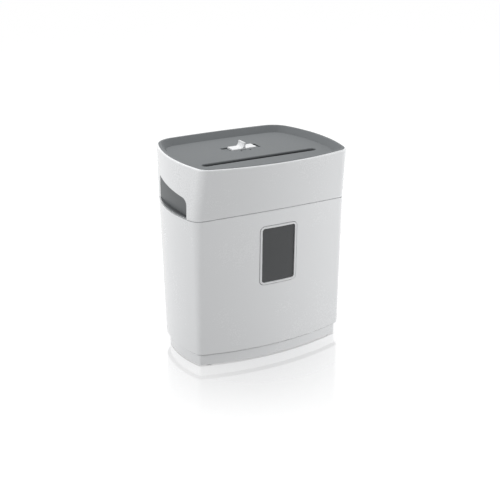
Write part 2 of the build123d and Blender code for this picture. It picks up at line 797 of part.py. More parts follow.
def make_tie_rod_nuts():
    """Hexagon nuts on both ends of the tie rods."""
    nuts = []
    for y, z in rod_spots():
        side = Plane((PLATE_OUT, y, z), x_dir=(0, 1, 0), z_dir=(1, 0, 0))
        nut = extrude(side * RegularPolygon(NUT_R, NUT_SIDES), NUT_T)
        nuts += both_sides(nut - rod_x(PLATE_X, PLATE_OUT + NUT_T + CUT, (y, z), ROD_R))
    return group(nuts)


def make_bushes():
    """Four flanged bearing bushes, two in each frame plate."""
    found = []
    for axis in (FRONT_AXIS, REAR_AXIS):
        bush = rod_x(PLATE_X, PLATE_OUT, axis, BUSH_R)
        bush += rod_x(PLATE_X - BUSH_FLANGE_T, PLATE_X, axis, BUSH_FLANGE_R)
        bush -= rod_x(PLATE_X - BUSH_FLANGE_T - CUT, PLATE_OUT + CUT, axis, JOURNAL_R + RUNNING)
        found += both_sides(bush)
    return group(found)


def disc_count():
    """How many discs of one cylinder fit on its core."""
    return int((2 * CORE_HALF - DISC_T) // DISC_PITCH)


def disc_places(shift):
    """X of the middle of each disc; shift moves the discs of one cylinder into the gaps of the other."""
    first = -DISC_PITCH * disc_count() / 2 + DISC_PITCH / 4
    return [first + DISC_PITCH * k + shift for k in range(disc_count())]


def disc(x, axis, turn):
    """Cutting disc with hooked teeth on its edge."""
    points = []
    for k in range(DISC_TEETH):
        at = math.radians(360 * k / DISC_TEETH + turn)
        tip = at + math.radians(TOOTH_RAKE)
        points.append((DISC_ROOT_R * math.cos(at), DISC_ROOT_R * math.sin(at)))
        points.append((DISC_R * math.cos(tip), DISC_R * math.sin(tip)))
    side = Plane((x - DISC_T / 2, *axis), x_dir=(0, 1, 0), z_dir=(1, 0, 0))
    return extrude(side * Polygon(*points, align=None), DISC_T)


def make_cutter(axis, shift, end):
    """Solid cutting cylinder: core, discs and journals, with its gear end at x = end."""
    core = rod_x(-CORE_HALF, CORE_HALF, axis, CORE_R)
    journal = rod_x(-PLATE_OUT - END_PLAY, end, axis, JOURNAL_R)
    discs = [disc(x, axis, DISC_TWIST * k) for k, x in enumerate(disc_places(shift))]
    return core.fuse(journal, *discs)


def comb_face(axis, sign):
    """Y of the outer face of the stripper comb beside one cylinder."""
    return axis[0] + sign * (DISC_R + COMB_CLEAR + COMB_T)


def make_comb(axis, shift, sign):
    """Stripper comb: a bar between the plates with a finger in each gap of one cylinder."""
    outer = comb_face(axis, sign)
    inner = outer - sign * COMB_T
    top = CUTTER_Z - COMB_DROP
    bar = block(-PLATE_X, PLATE_X, min(inner, outer), max(inner, outer), top - COMB_H, top)
    tip = axis[0] + sign * (CORE_R + COMB_CLEAR)
    fingers = []
    for x in disc_places(shift + DISC_PITCH / 2)[:-1]:
        half = COMB_FINGER_W / 2
        fingers.append(
            block(x - half, x + half, min(tip, inner), max(tip, inner), top - COMB_FINGER_H, top)
        )
    return bar.fuse(*fingers)


def gear_points(teeth, module, phase):
    """Involute gear outline as points; phase is one tooth's direction, in degrees from +Y towards +Z."""
    pressure = math.radians(PRESSURE_ANGLE)
    pitch_r = module * teeth / 2
    base_r = pitch_r * math.cos(pressure)
    tip_r = pitch_r + ADDENDUM * module
    root_r = pitch_r - DEDENDUM * module
    start_r = max(base_r, root_r)
    half = math.pi / (2 * teeth) - BACKLASH / (4 * pitch_r) + math.tan(pressure) - pressure
    flank = []
    for k in range(FLANK_STEPS + 1):
        r = start_r + (tip_r - start_r) * k / FLANK_STEPS
        roll = math.acos(min(1.0, base_r / r))
        flank.append((r, half - math.tan(roll) + roll))
    flank.insert(0, (root_r, flank[0][1]))
    tooth = [(r, -a) for r, a in flank] + [(r, a) for r, a in reversed(flank)]
    points = []
    for k in range(teeth):
        middle = math.radians(phase) + 2 * math.pi * k / teeth
        points += [(r * math.cos(middle + a), r * math.sin(middle + a)) for r, a in tooth]
    return points


def gear(axis, teeth, module, phase, x0, x1):
    """Spur gear on an axis along X, between x0 and x1, without a bore."""
    side = Plane((x0, *axis), x_dir=(0, 1, 0), z_dir=(1, 0, 0))
    return extrude(side * Polygon(*gear_points(teeth, module, phase), align=None), x1 - x0)


def bearing(a, b):
    """Direction in degrees from axis a to axis b."""
    return math.degrees(math.atan2(b[1] - a[1], b[0] - a[0]))


def gap_phase(a, b, teeth):
    """Phase of the gear on b that puts a gap between its teeth towards a."""
    return bearing(b, a) + 180 / teeth


def make_sync_gears():
    """Equal gears that turn the two cutting cylinders against each other: front, then rear."""
    phase = bearing(REAR_AXIS, FRONT_AXIS)
    rear = gear(REAR_AXIS, SYNC_TEETH, SYNC_MODULE, phase, SYNC_X, SYNC_X + SYNC_FACE)
    phase = gap_phase(REAR_AXIS, FRONT_AXIS, SYNC_TEETH)
    front = gear(FRONT_AXIS, SYNC_TEETH, SYNC_MODULE, phase, SYNC_X, SYNC_X + SYNC_FACE)
    bore = JOURNAL_R + RUNNING
    return (
        front - rod_x(SYNC_X - CUT, DRIVE_X, FRONT_AXIS, bore),
        rear - rod_x(SYNC_X - CUT, DRIVE_X, REAR_AXIS, bore),
    )


def make_drive_gear():
    """Large gear on the rear cutting cylinder."""
    phase = gap_phase(SECOND_AXIS, REAR_AXIS, DRIVE_TEETH)
    wheel = gear(REAR_AXIS, DRIVE_TEETH, DRIVE_MODULE, phase, DRIVE_X, DRIVE_X + DRIVE_FACE)
    return wheel - rod_x(DRIVE_X - CUT, MIDDLE_X, REAR_AXIS, JOURNAL_R + RUNNING)


def make_second_gear():
    """Double gear next to the drive gear: small teeth inside, large teeth outside."""
    phase = bearing(SECOND_AXIS, REAR_AXIS)
    pinion = gear(SECOND_AXIS, DRIVE_PINION_TEETH, DRIVE_MODULE, phase, DRIVE_X, MIDDLE_X)
    phase = gap_phase(FIRST_AXIS, SECOND_AXIS, MIDDLE_TEETH)
    wheel = gear(SECOND_AXIS, MIDDLE_TEETH, MIDDLE_MODULE, phase, MIDDLE_X, GEARS_END)
    hub = rod_x(SYNC_X, DRIVE_X, SECOND_AXIS, HUB_R)
    return wheel + pinion + hub - rod_x(PLATE_X, GEARS_END + CUT, SECOND_AXIS, AXLE_R + RUNNING)


def make_first_gear():
    """Double gear driven by the motor: large teeth by the plate, small teeth outside."""
    phase = gap_phase(MOTOR_AXIS, FIRST_AXIS, FIRST_TEETH)
    wheel = gear(FIRST_AXIS, FIRST_TEETH, FIRST_MODULE, phase, SYNC_X, SYNC_X + SYNC_FACE)
    phase = bearing(FIRST_AXIS, SECOND_AXIS)
    pinion = gear(FIRST_AXIS, MIDDLE_PINION_TEETH, MIDDLE_MODULE, phase, MIDDLE_X, GEARS_END)
    hub = rod_x(SYNC_X, MIDDLE_X, FIRST_AXIS, HUB_R)
    return wheel + pinion + hub - rod_x(PLATE_X, GEARS_END + CUT, FIRST_AXIS, AXLE_R + RUNNING)


def make_gear_axles():
    """Two steel pins in the right frame plate, on which the double gears turn."""
    end = GEARS_END + GEAR_GAP / 2
    return group(rod_x(PLATE_X, end, axis, AXLE_R) for axis in (FIRST_AXIS, SECOND_AXIS))


def gear_cover_box():
    """Inside of the gear cover as (y0, y1, z0, z1)."""
    sync_r = SYNC_MODULE * (SYNC_TEETH / 2 + ADDENDUM)
    drive_r = DRIVE_MODULE * (DRIVE_TEETH / 2 + ADDENDUM)
    front = FRONT_AXIS[0] - sync_r - COVER_ROOM
    back = MOTOR_AXIS[0] + FIRST_MODULE * (MOTOR_TEETH / 2 + ADDENDUM) + COVER_ROOM
    return front, back, CUTTER_Z - drive_r - COVER_ROOM, CUTTER_Z + drive_r + COVER_ROOM


def ear_spots():
    """(y, z) of the two screws that hold the gear cover to the right plate."""
    front, back, low, high = gear_cover_box()
    return [(front - COVER_WALL - EAR_L / 2, CUTTER_Z), (back + COVER_WALL + EAR_L / 2, CUTTER_Z)]


def make_gear_cover():
    """Plastic cover over the gears, open towards the plate, with an ear at each end."""
    front, back, low, high = gear_cover_box()
    w = COVER_WALL
    cover = block(PLATE_OUT, GEAR_COVER_X, front - w, back + w, low - w, high + w)
    cover -= block(PLATE_OUT - CUT, GEAR_COVER_X - w, front, back, low, high)
    for y, z in ear_spots():
        ear = block(
            PLATE_OUT, PLATE_OUT + EAR_T, y - EAR_L / 2, y + EAR_L / 2, z - EAR_L / 2, z + EAR_L / 2
        )
        cover += ear - rod_x(PLATE_X, PLATE_OUT + EAR_T + CUT, (y, z), SCREW_R + FIT)
    return cover


def screw_x(x_head, axis, length):
    """Pan head screw along -X, its head on the plane x_head."""
    return rod_x(x_head, x_head + SCREW_HEAD_H, axis, SCREW_HEAD_R) + rod_x(
        x_head - length, x_head, axis, SCREW_R
    )


def screw_z(z_head, spot, length, down):
    """Pan head screw on the plane z_head, pointing down or up."""
    sign = -1 if down else 1
    head = sorted((z_head, z_head - sign * SCREW_HEAD_H))
    shank = sorted((z_head, z_head + sign * length))
    return rod_z(*head, *spot, SCREW_HEAD_R) + rod_z(*shank, *spot, SCREW_R)


def make_gear_cover_screws():
    """Two screws through the ears of the gear cover."""
    return group(screw_x(PLATE_OUT + EAR_T, axis, EAR_T + PLATE_T) for axis in ear_spots())


def motor_screw_spots():
    """(y, z) of the two screws that hold the motor to the right plate."""
    y, z = MOTOR_AXIS
    turn = math.radians(MOTOR_ANGLE)
    dy, dz = -MOTOR_SCREW_AWAY * math.sin(turn), MOTOR_SCREW_AWAY * math.cos(turn)
    return [(y - dy, z - dz), (y + dy, z + dz)]


def make_motor_screws():
    """Two screws through the right plate into the motor's end plate."""
    return group(screw_x(PLATE_OUT, axis, PLATE_T + END_PLATE_T) for axis in motor_screw_spots())


def make_motor_can():
    """Steel can of the motor with a bearing boss on its closed end."""
    end = PLATE_X - END_PLATE_T
    can = rod_x(end - CAN_L, end, MOTOR_AXIS, CAN_R)
    can -= rod_x(end - CAN_L + CAN_WALL, end + CUT, MOTOR_AXIS, CAN_R - CAN_WALL)
    can += rod_x(end - CAN_L - MOTOR_BOSS_L, end - CAN_L + CAN_WALL, MOTOR_AXIS, MOTOR_BOSS_R)
    hole = (end - CAN_L - MOTOR_BOSS_L + BOSS_END_T, end - CAN_L + CAN_WALL + CUT)
    return can - rod_x(*hole, MOTOR_AXIS, MOTOR_SHAFT_R + RUNNING)


def make_motor_end_plate():
    """Front bearing plate of the motor, against the frame plate."""
    plate = rod_x(PLATE_X - END_PLATE_T, PLATE_X, MOTOR_AXIS, CAN_R)
    plate += rod_x(PLATE_X, PLATE_OUT, MOTOR_AXIS, MOTOR_BOSS_R)
    plate -= rod_x(PLATE_X - END_PLATE_T - CUT, PLATE_OUT + CUT, MOTOR_AXIS, MOTOR_SHAFT_R + RUNNING)
    for axis in motor_screw_spots():
        plate -= rod_x(PLATE_X - END_PLATE_T - CUT, PLATE_X + CUT, axis, SCREW_R)
    return plate


def motor_middle():
    """X of the middle of the motor's magnets and armature."""
    return PLATE_X - END_PLATE_T - CAN_L / 2


def make_motor_magnets():
    """Two curved magnets against the inside of the can."""
    x0, x1 = motor_middle() - MAGNET_L / 2, motor_middle() + MAGNET_L / 2
    outer = CAN_R - CAN_WALL
    ring = rod_x(x0, x1, MOTOR_AXIS, outer) - rod_x(x0 - CUT, x1 + CUT, MOTOR_AXIS, outer - MAGNET_T)
    half_open = outer * math.cos(math.radians(MAGNET_ARC / 2))
    y, z = MOTOR_AXIS
    ring -= block(x0 - CUT, x1 + CUT, y - outer - CUT, y + outer + CUT, z - half_open, z + half_open)
    return group([ring])


def make_armature():
    """Motor shaft with its wound core."""
    far = PLATE_X - END_PLATE_T - CAN_L - MOTOR_BOSS_L + BOSS_END_T + END_PLAY
    shaft = rod_x(far, SYNC_X + SYNC_FACE, MOTOR_AXIS, MOTOR_SHAFT_R)
    middle = motor_middle()
    return shaft + rod_x(middle - ARMATURE_L / 2, middle + ARMATURE_L / 2, MOTOR_AXIS, ARMATURE_R)


def make_motor_pinion():
    """Small gear on the motor shaft."""
    phase = bearing(MOTOR_AXIS, FIRST_AXIS)
    pinion = gear(MOTOR_AXIS, MOTOR_TEETH, FIRST_MODULE, phase, SYNC_X, SYNC_X + SYNC_FACE)
    return pinion - rod_x(SYNC_X - CUT, DRIVE_X, MOTOR_AXIS, MOTOR_SHAFT_R)


def throat_low():
    """Height of the throat's lower edge, just over the cutting discs."""
    return CUTTER_Z + DISC_R + COMB_CLEAR


def lever_axis():
    """(y, z) of the paper lever's pin, behind the throat."""
    return (SLOT_Y + SLOT_W / 2 + THROAT_WALL + LEVER_BACK, FLOOR_UNDER - LEVER_Z)


def make_paper_throat():
    """Chute from the slot to the cutters, with a flange under the tray and lugs for the paper lever."""
    half_l = SLOT_L / 2
    half_w = SLOT_W / 2
    t = THROAT_WALL
    low = throat_low()
    chute = block(-half_l - t, half_l + t, SLOT_Y - half_w - t, SLOT_Y + half_w + t, low, FLOOR_UNDER)
    flange_w = THROAT_FLANGE_W / 2
    chute += block(
        -half_l - t,
        half_l + t,
        SLOT_Y - flange_w,
        SLOT_Y + flange_w,
        FLOOR_UNDER - THROAT_FLANGE_T,
        FLOOR_UNDER,
    )
    chute -= block(-half_l, half_l, SLOT_Y - half_w, SLOT_Y + half_w, low - CUT, FLOOR_UNDER + CUT)
    y, z = lever_axis()
    wall_y = SLOT_Y + half_w
    for lug in both_sides(
        block(LUG_GAP, LUG_GAP + LUG_T, wall_y + t, y + LEVER_HUB_R, z - LEVER_HUB_R, z + LEVER_HUB_R)
    ):
        chute += lug
    chute -= rod_x(-LUG_GAP - LUG_T - CUT, LUG_GAP + LUG_T + CUT, (y, z), LEVER_PIN_R)
    window = LEVER_T / 2 + LEVER_CLEAR
    chute -= block(-window, window, wall_y - CUT, wall_y + t + CUT, z - LEVER_REACH, z + LEVER_T)
    return chute


def make_paper_lever():
    """Paper lever: a blade across the throat and a heavier tail in the light gate."""
    y, z = lever_axis()
    half = LEVER_T / 2
    hub = rod_x(-LUG_GAP + FIT, LUG_GAP - FIT, (y, z), LEVER_HUB_R)
    blade = block(-half, half, y - LEVER_REACH, y, z - BLADE_UNDER, z + half)
    tail = block(-half, half, y, y + LEVER_TAIL, z - half, z + half)
    weight = block(-half, half, y + LEVER_TAIL - WEIGHT_L, y + LEVER_TAIL, z - WEIGHT_H, z + half)
    lever = hub + blade + tail + weight
    return lever - rod_x(-LUG_GAP, LUG_GAP, (y, z), LEVER_PIN_R + RUNNING)


def make_lever_pin():
    """Steel pin of the paper lever."""
    return rod_x(-LUG_GAP - LUG_T, LUG_GAP + LUG_T, lever_axis(), LEVER_PIN_R)


def make_paper_sensor():
    """Light gate under the tray, round the tail of the paper lever."""
    y, z = lever_axis()
    half = SENSOR_W / 2
    front = y + LEVER_TAIL - SENSOR_L / 2
    gate = block(-half, half, front, front + SENSOR_L, z - LEVER_T, FLOOR_UNDER)
    slot = SENSOR_SLOT / 2
    roof = FLOOR_UNDER - SENSOR_ROOF
    return gate - block(-slot, slot, front - CUT, front + SENSOR_L + CUT, z - LEVER_T - CUT, roof)


def lock_switch_z():
    """Height of the underside of the interlock switch."""
    return BASE_TOP + GUIDE_H + PLUNGER_DROP + FIT + FLANGE_T + LOCK_SWITCH_GAP


def make_lock_plunger():
    """Plunger that the bin's post pushes up into the interlock switch."""
    spot = lock_spot()
    top = lock_switch_z() - LOCK_SWITCH_GAP
    stem = rod_z(BASE_Z + LOCK_RISE, top, *spot, PLUNGER_R)
    return stem + rod_z(top - FLANGE_T, top, *spot, FLANGE_R)


def make_lock_switch():
    """Interlock switch on its bracket over the plunger."""
    x, y = lock_spot()
    z = lock_switch_z()
    front = y - GUIDE_R
    half = LOCK_SWITCH_L / 2
    return block(x - half, x + half, front, front + LOCK_SWITCH_W, z, z + LOCK_SWITCH_H)


def make_cord_gland():
    """Cord inlet in the back of the head: a bush with a flange inside and outside the wall."""
    out = back_wall(GLAND_X, GLAND_HEIGHT, 0)
    lean = out + GLAND_LEAN
    inner = out - WALL - GLAND_LEAN
    gland = rod_y(inner, lean + GLAND_FLANGE_T, GLAND_X, GLAND_HEIGHT, GLAND_R)
    gland += rod_y(lean, lean + GLAND_FLANGE_T, GLAND_X, GLAND_HEIGHT, GLAND_FLANGE_R)
    gland += rod_y(inner - GLAND_FLANGE_T, inner, GLAND_X, GLAND_HEIGHT, GLAND_FLANGE_R)
    return gland - rod_y(inner - HEAD_H, lean + HEAD_H, GLAND_X, GLAND_HEIGHT, GLAND_BORE_R)


def board_z():
    """Height of the control board's underside."""
    return BASE_TOP + POST_H


def make_control_board():
    """Circuit board on four posts of the base cover."""
    board = block(
        BOARD_X - BOARD_L / 2, BOARD_X + BOARD_L / 2, BOARD_Y - BOARD_W / 2, BOARD_Y + BOARD_W / 2,
        board_z(), board_z() + BOARD_T,
    )
    for x, y in board_posts():
        board -= rod_z(board_z() - CUT, board_z() + BOARD_T + CUT, x, y, SCREW_R + FIT)
    return board


def on_board(x, y, length, width, height):
    """Box standing on the control board, its middle at (x, y) from the board's middle."""
    cx, cy, z = BOARD_X + x, BOARD_Y + y, board_z() + BOARD_T
    return block(cx - length / 2, cx + length / 2, cy - width / 2, cy + width / 2, z, z + height)


def make_relay():
    """Motor relay on the control board."""
    return on_board(RELAY_X, 0, RELAY_L, RELAY_W, RELAY_H)


def make_capacitor():
    """Smoothing capacitor on the control board."""
    z = board_z() + BOARD_T
    return rod_z(z, z + CAPACITOR_H, BOARD_X + CAPACITOR_X, BOARD_Y + CAPACITOR_Y, CAPACITOR_R)


def make_terminal_block():
    """Wire terminals along the back of the control board."""
    return on_board(0, TERMINAL_Y, TERMINAL_L, TERMINAL_W, TERMINAL_H)


def make_board_screws():
    """Four screws that hold the control board to its posts."""
    return group(screw_z(board_z() + BOARD_T, spot, BOARD_T + POST_H, True) for spot in board_posts())


def make_case_screws():
    """Four screws from below, through the base cover into the bosses of the top cover."""
    return group(screw_z(BASE_Z, spot, BASE_T + SCREW_BITE, False) for spot in bosses())


def make_frame_screws():
    """Four screws that hold the tabs of the frame plates to the base cover."""
    return group(screw_z(BASE_TOP + PLATE_T, spot, PLATE_T + BASE_T, True) for spot in frame_screw_spots())


def build():
    """Every sub-part by name."""
    front_sync, rear_sync = make_sync_gears()
    grip = make_grip()
    quarter = DISC_PITCH / 4
    return {
        "bin_shell": make_bin_shell(),
        "window_bezel": make_window_bezel(),
        "window_pane": make_window_pane(),
        "rubber_feet": make_feet(),
        "head_housing": make_head_housing(),
        "top_cover": make_top_cover(),
        "base_cover": make_base_cover(),
        "grip_right": grip,
        "grip_left": mirror(grip, Plane.YZ),
        "paper_throat": make_paper_throat(),
        "paper_lever": make_paper_lever(),
        "lever_pin": make_lever_pin(),
        "paper_sensor": make_paper_sensor(),
        "mode_knob": make_mode_knob(),
        "mode_switch": make_mode_switch(),
        "frame_plate_left": make_frame_plate(-1),
        "frame_plate_right": make_frame_plate(1),
        "tie_rods": make_tie_rods(),
        "tie_rod_nuts": make_tie_rod_nuts(),
        "shaft_bushes": make_bushes(),
        "front_cutter": make_cutter(FRONT_AXIS, -quarter, SYNC_X + SYNC_FACE),
        "rear_cutter": make_cutter(REAR_AXIS, quarter, MIDDLE_X),
        "stripper_front": make_comb(FRONT_AXIS, -quarter, -1),
        "stripper_rear": make_comb(REAR_AXIS, quarter, 1),
        "front_sync_gear": front_sync,
        "rear_sync_gear": rear_sync,
        "drive_gear": make_drive_gear(),
        "second_gear": make_second_gear(),
        "first_gear": make_first_gear(),
        "gear_axles": make_gear_axles(),
        "gear_cover": make_gear_cover(),
        "gear_cover_screws": make_gear_cover_screws(),
        "motor_can": make_motor_can(),
        "motor_end_plate": make_motor_end_plate(),
        "motor_magnets": make_motor_magnets(),
        "armature": make_armature(),
        "motor_pinion": make_motor_pinion(),
        "motor_screws": make_motor_screws(),
        "control_board": make_control_board(),
        "relay": make_relay(),
        "capacitor": make_capacitor(),
        "terminal_block": make_terminal_block(),
        "board_screws": make_board_screws(),
        "lock_plunger": make_lock_plunger(),
        "lock_switch": make_lock_switch(),
        "cord_gland": make_cord_gland(),
        "case_screws": make_case_screws(),
        "frame_screws": make_frame_screws(),
    }


def main():
    """Write one STEP file for each sub-part."""
    os.makedirs("parts", exist_ok=True)
    for name, shape in build().items():
        export_step(shape, f"parts/{name}.step")


main()
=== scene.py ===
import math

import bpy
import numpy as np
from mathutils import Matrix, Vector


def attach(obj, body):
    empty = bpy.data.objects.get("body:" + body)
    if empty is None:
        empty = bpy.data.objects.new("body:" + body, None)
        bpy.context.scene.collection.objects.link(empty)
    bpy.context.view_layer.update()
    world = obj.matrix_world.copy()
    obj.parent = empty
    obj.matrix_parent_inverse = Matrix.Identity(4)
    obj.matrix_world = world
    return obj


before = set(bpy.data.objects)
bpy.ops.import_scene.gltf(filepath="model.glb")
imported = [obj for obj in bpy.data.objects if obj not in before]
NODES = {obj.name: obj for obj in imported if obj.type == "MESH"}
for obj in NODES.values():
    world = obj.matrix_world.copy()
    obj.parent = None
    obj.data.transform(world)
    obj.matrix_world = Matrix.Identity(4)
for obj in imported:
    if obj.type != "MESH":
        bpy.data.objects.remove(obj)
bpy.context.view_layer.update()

# %% [markdown]
# # A paper shredder, dressed in Blender
# The imported model is already in the scene: every solid sits where it belongs.
# What is left is the looks. We light it, give each piece a finish worked out from nodes, add the small
# surface pieces that have no solid of their own, and place the camera.

# %% [markdown]
# ## Helpers for shader nodes
# A material is a small graph. Adding a node, setting the values on its sockets and joining two sockets
# are the only three steps, so one short function does them all: a plain value is written on the socket
# and a socket from another node is linked to it.


# %% Adding a node
def feed(tree, socket, value):
    """Links another node's socket to this one, or writes a plain value on it."""
    if isinstance(value, bpy.types.NodeSocket):
        tree.links.new(value, socket)
    else:
        socket.default_value = value


def add(tree, kind, **inputs):
    """A new node with sockets fed by name, where _ stands for a space, or by number as in _0."""
    node = tree.nodes.new(kind)
    for name, value in inputs.items():
        key = int(name[1:]) if name[1:].isdigit() else name.replace("_", " ")
        feed(tree, node.inputs[key], value)
    return node


def math_node(tree, operation, a, b=0.0, c=0.0, clamp=False):
    """One arithmetic step on up to three values; returns its output socket."""
    node = add(tree, "ShaderNodeMath", _0=a, _1=b, _2=c)
    node.operation = operation
    node.use_clamp = clamp
    return node.outputs[0]


def mix_colour(tree, share, a, b):
    """A colour between a and b; returns its output socket."""
    node = tree.nodes.new("ShaderNodeMix")
    node.data_type = "RGBA"
    for number, value in ((0, share), (6, a), (7, b)):
        feed(tree, node.inputs[number], value)
    return node.outputs[2]


print("node helpers ready")

# %% [markdown]
# ## Shared effects
# Moulded plastic is never quite even: the mould leaves a fine grain, and the flow of the melt leaves
# broad, faint clouds. Both are noise at two very different scales, so one node group makes them for
# every plastic piece. It puts out a height for the bump, a cloud for the colour and a gloss value.


# %% Moulded grain
CLOUD_GLOSS, GRAIN_GLOSS = 0.10, 0.08


def new_group(name, inputs, outputs):
    """An empty shader node group with float inputs, given as (name, value), and named outputs."""
    group = bpy.data.node_groups.new(name, "ShaderNodeTree")
    for label, value in inputs:
        socket = group.interface.new_socket(label, in_out="INPUT", socket_type="NodeSocketFloat")
        socket.default_value = value
    for label in outputs:
        group.interface.new_socket(label, in_out="OUTPUT", socket_type="NodeSocketFloat")
    return group, group.nodes.new("NodeGroupInput"), group.nodes.new("NodeGroupOutput")


def make_moulded_grain():
    """Height = fine noise; cloud = broad noise; gloss = a middle value with cloud and grain about it."""
    inputs = (("Grain size", 900.0), ("Cloud size", 9.0), ("Gloss", 0.3))
    tree, given, out = new_group("moulded grain", inputs, ("Height", "Cloud", "Rough"))
    place = tree.nodes.new("ShaderNodeTexCoord").outputs["Object"]
    grain = add(tree, "ShaderNodeTexNoise", Vector=place, Scale=given.outputs["Grain size"], Detail=3.0)
    cloud = add(tree, "ShaderNodeTexNoise", Vector=place, Scale=given.outputs["Cloud size"], Detail=4.0)
    uneven = math_node(tree, "MULTIPLY_ADD", cloud.outputs["Fac"], CLOUD_GLOSS, -CLOUD_GLOSS / 2)
    fine = math_node(tree, "MULTIPLY_ADD", grain.outputs["Fac"], GRAIN_GLOSS, -GRAIN_GLOSS / 2)
    rough = math_node(tree, "ADD", given.outputs["Gloss"], uneven)
    rough = math_node(tree, "ADD", rough, fine, clamp=True)
    tree.links.new(grain.outputs["Fac"], out.inputs["Height"])
    tree.links.new(cloud.outputs["Fac"], out.inputs["Cloud"])
    tree.links.new(rough, out.inputs["Rough"])
    return tree


GRAIN = make_moulded_grain()
print("group", GRAIN.name)

# %% [markdown]
# ## Plastics
# One function makes every plastic from a colour, a gloss and the depth of its grain. The white shells
# are smooth and a little glossy, the grey tray is matt and grained, and the hidden covers are dark.


# %% Plastic material
def rgba(colour):
    """A colour of three numbers as four."""
    return (*colour, 1.0)


def principled(material):
    """The material's node tree and its main shader node."""
    material.use_nodes = True
    return material.node_tree, material.node_tree.nodes["Principled BSDF"]


def plastic(name, colour, gloss, grain_size, depth, drift=0.04, specular=0.5):
    """Moulded plastic: colour with faint clouds, uneven gloss and a grain of some depth in metres."""
    material = bpy.data.materials.new(name)
    tree, shader = principled(material)
    grain = tree.nodes.new("ShaderNodeGroup")
    grain.node_tree = GRAIN
    grain.inputs["Grain size"].default_value = grain_size
    grain.inputs["Gloss"].default_value = gloss
    dark = rgba([c * (1 - drift) for c in colour])
    pale = rgba([min(1.0, c * (1 + drift)) for c in colour])
    tree.links.new(mix_colour(tree, grain.outputs["Cloud"], dark, pale), shader.inputs["Base Color"])
    tree.links.new(grain.outputs["Rough"], shader.inputs["Roughness"])
    shader.inputs["Specular IOR Level"].default_value = specular
    bump = add(tree, "ShaderNodeBump", Strength=1.0, Distance=depth, Height=grain.outputs["Height"])
    tree.links.new(bump.outputs["Normal"], shader.inputs["Normal"])
    return material


WHITE_SHELL = plastic("white shell", (0.78, 0.79, 0.80), 0.26, 420.0, 0.00001, 0.012)
WHITE_KNOB = plastic("white button", (0.77, 0.78, 0.79), 0.32, 500.0, 0.00001, 0.012)
TRAY_GREY = plastic("tray grey", (0.150, 0.160, 0.166), 0.62, 1500.0, 0.00006, 0.05, 0.25)
GRIP_GREY = plastic("grip grey", (0.092, 0.099, 0.103), 0.5, 1500.0, 0.00006, 0.05)
FRAME_WHITE = plastic("window frame", (0.76, 0.77, 0.78), 0.34, 700.0, 0.00001, 0.012)
DARK_COVER = plastic("dark cover", (0.045, 0.048, 0.052), 0.5, 1100.0, 0.00004, 0.08)
NYLON = plastic("gear nylon", (0.66, 0.63, 0.55), 0.42, 800.0, 0.00003, 0.05)
RUBBER = plastic("black rubber", (0.022, 0.022, 0.023), 0.72, 700.0, 0.00008, 0.12)
BOARD_GREEN = plastic("board green", (0.025, 0.16, 0.06), 0.38, 300.0, 0.00002, 0.10)
SLEEVE_BLUE = plastic("capacitor sleeve", (0.02, 0.025, 0.09), 0.28, 500.0, 0.00001, 0.06)
MARK_INK = plastic("mark ink", (0.015, 0.015, 0.016), 0.9, 900.0, 0.00001, 0.05, 0.0)
print("materials so far", len(bpy.data.materials))

# %% [markdown]
# ## Steel, brass and magnets
# The frame plates and cutters are ground, which leaves long, fine scratches in one direction. Noise that
# is stretched along one axis gives them: a Mapping node squeezes two axes much harder than the third.
# The motor's magnets are dull and dark, so the plastic function serves for them.


# %% Metal material
SCRATCH_SHADE, SCRATCH_GLOSS = 0.82, 0.2


def metal(name, colour, gloss, stretch, depth):
    """Ground metal: stretched noise drives the colour, the gloss and a slight bump."""
    material = bpy.data.materials.new(name)
    tree, shader = principled(material)
    place = tree.nodes.new("ShaderNodeTexCoord").outputs["Object"]
    squeezed = add(tree, "ShaderNodeMapping", Vector=place, Scale=stretch)
    streak = add(tree, "ShaderNodeTexNoise", Vector=squeezed.outputs["Vector"], Scale=1.0, Detail=4.0)
    dark = rgba([c * SCRATCH_SHADE for c in colour])
    tree.links.new(mix_colour(tree, streak.outputs["Fac"], dark, rgba(colour)), shader.inputs["Base Color"])
    rough = math_node(tree, "MULTIPLY_ADD", streak.outputs["Fac"], SCRATCH_GLOSS, gloss)
    tree.links.new(rough, shader.inputs["Roughness"])
    shader.inputs["Metallic"].default_value = 1.0
    bump = add(tree, "ShaderNodeBump", Strength=1.0, Distance=depth, Height=streak.outputs["Fac"])
    tree.links.new(bump.outputs["Normal"], shader.inputs["Normal"])
    return material


STEEL = metal("ground steel", (0.58, 0.59, 0.61), 0.22, (2500.0, 2500.0, 90.0), 0.00001)
CUTTER_STEEL = metal("cutter steel", (0.42, 0.43, 0.45), 0.25, (900.0, 900.0, 900.0), 0.00002)
BRASS = metal("turned brass", (0.78, 0.60, 0.28), 0.20, (2500.0, 400.0, 400.0), 0.00001)
FERRITE = plastic("magnet", (0.03, 0.03, 0.032), 0.6, 900.0, 0.00004, 0.10)
print("materials so far", len(bpy.data.materials))

# %% [markdown]
# ## Smoked window
# The window in the bin is a clear plastic pane with a grey smoke in it. Light passes through and is
# coloured on the way, so the shader is a transmitting one with a plain value, and only the gloss has
# the faint unevenness of a moulded sheet.


# %% Window pane
SMOKE_DARK, SMOKE_PALE = (0.095, 0.101, 0.106), (0.115, 0.121, 0.126)
PANE_GLOSS, PANE_CLEARNESS, PANE_IOR = 0.12, 0.55, 1.49


